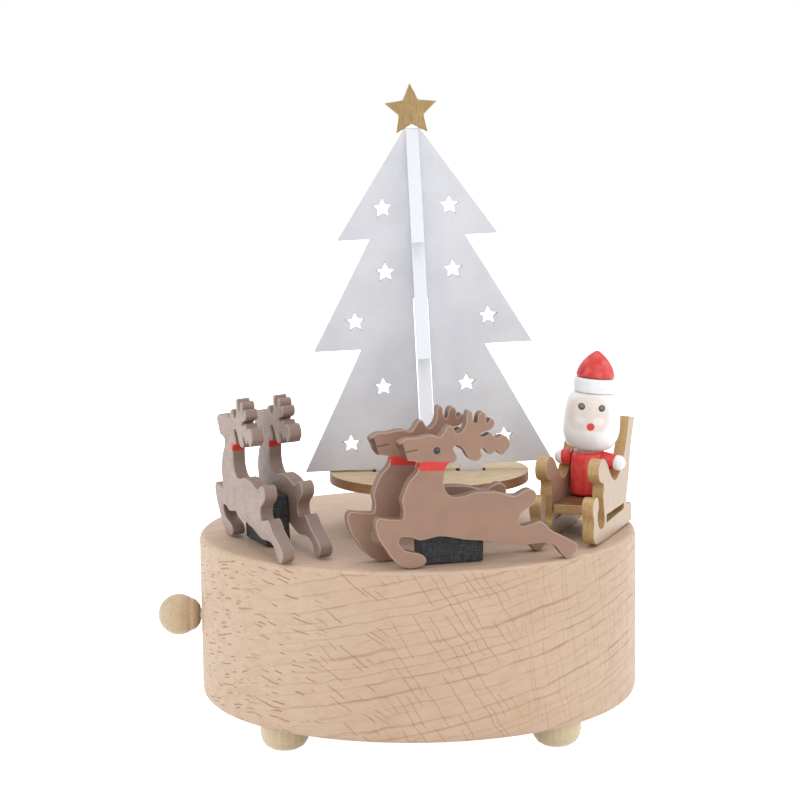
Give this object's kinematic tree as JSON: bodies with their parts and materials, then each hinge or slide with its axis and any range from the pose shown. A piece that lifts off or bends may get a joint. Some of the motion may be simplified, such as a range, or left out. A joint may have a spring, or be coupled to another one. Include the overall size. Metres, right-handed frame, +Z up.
{
  "type": "music box",
  "caption": "Round wooden music box with a turning cross-halved tree on a raised disc, circled by fixed cut-out deer and a sleigh with a small turned doll; side winding knob.",
  "frame": {"origin": "centre of the base's flat underside, in the plane of the bottom cover", "axes": "+Z up through the tree, -Y towards the viewer, where the front pair of deer stands, -X towards the winding knob"},
  "size_m": [0.1272, 0.115, 0.1666],
  "materials": {
    "beech": "turned and sanded, clear matt",
    "pale_wood": "turned, clear matt",
    "plywood": "thin plywood, sanded",
    "white_paint": "painted greyish white, brushed",
    "brown_paint": "painted brown, matt",
    "black_paint": "painted black, matt",
    "gold_paint": "painted gold, brushed",
    "red_paint": "painted red, satin",
    "pale_paint": "painted white, satin",
    "steel": "plain",
    "brass": "plain"
  },
  "bodies": {
    "base": {"base_block": "beech", "foot_1": "pale_wood", "foot_2": "pale_wood", "foot_3": "pale_wood", "foot_4": "pale_wood", "bottom_cover": "plywood", "front_deer_outer": "brown_paint", "front_deer_inner": "brown_paint", "left_deer_outer": "brown_paint", "left_deer_inner": "brown_paint", "front_deer_block": "black_paint", "left_deer_block": "black_paint", "seat_block": "black_paint", "sleigh_side_outer": "gold_paint", "sleigh_side_inner": "gold_paint", "sleigh_seat": "gold_paint", "doll_body": "red_paint", "doll_arm_left": "red_paint", "doll_arm_right": "red_paint", "doll_hat": "red_paint", "doll_head": "pale_paint", "doll_hat_band": "pale_paint", "doll_hand_left": "pale_paint", "doll_hand_right": "pale_paint", "cover_screw_1": "steel", "cover_screw_2": "steel", "cover_screw_3": "steel", "movement_bedplate": "steel", "bedplate_screw_1": "steel", "bedplate_screw_2": "steel", "lower_bridge": "steel", "comb": "steel", "comb_screw_1": "steel", "comb_screw_2": "steel", "governor_frame": "steel", "governor_screw": "steel", "arbor_bush": "brass", "spindle_bush": "brass", "comb_block": "brass"},
    "turntable": {"spindle": "steel", "disc_hub": "pale_wood", "turntable_disc": "plywood", "tree_panel_wide": "white_paint", "tree_panel_deep": "white_paint", "tree_star": "gold_paint", "pinned_cylinder": "brass", "cylinder_pinion": "brass", "cylinder_gear": "brass"},
    "winding_key": {"winding_knob": "pale_wood", "winding_arbor": "steel"},
    "barrel": {"spring_barrel": "brass", "barrel_cap": "brass", "mainspring": "steel"},
    "governor": {"governor_wheel": "brass"},
    "worm": {"governor_worm": "steel", "governor_fan": "brass"}
  },
  "joints": [
    {"name": "turntable_spin", "type": "hinge", "parent": "base", "child": "turntable", "pos_m": [0.0033, 0, 0.0583], "axis": [0, 0, 1], "continuous": true},
    {"name": "winding_knob_turn", "type": "hinge", "parent": "base", "child": "winding_key", "pos_m": [-0.0637, 0, 0.0203], "axis": [1, 0, 0], "continuous": true},
    {"name": "barrel_spin", "type": "hinge", "parent": "base", "child": "barrel", "pos_m": [-0.0104, 0, 0.0203], "axis": [1, 0, 0], "continuous": true},
    {"name": "governor_spin", "type": "hinge", "parent": "base", "child": "governor", "pos_m": [0.0033, 0.0145, 0.03], "axis": [0, 0, 1], "continuous": true},
    {"name": "worm_spin", "type": "hinge", "parent": "base", "child": "worm", "pos_m": [0.0033, 0.0212, 0.02475], "axis": [1, 0, 0], "continuous": true}
  ],
  "couplings": [
    {"joint": "barrel_spin", "follows": "turntable_spin", "ratio": -0.5},
    {"joint": "governor_spin", "follows": "turntable_spin", "ratio": -4.8},
    {"joint": "worm_spin", "follows": "turntable_spin", "ratio": 24}
  ]
}
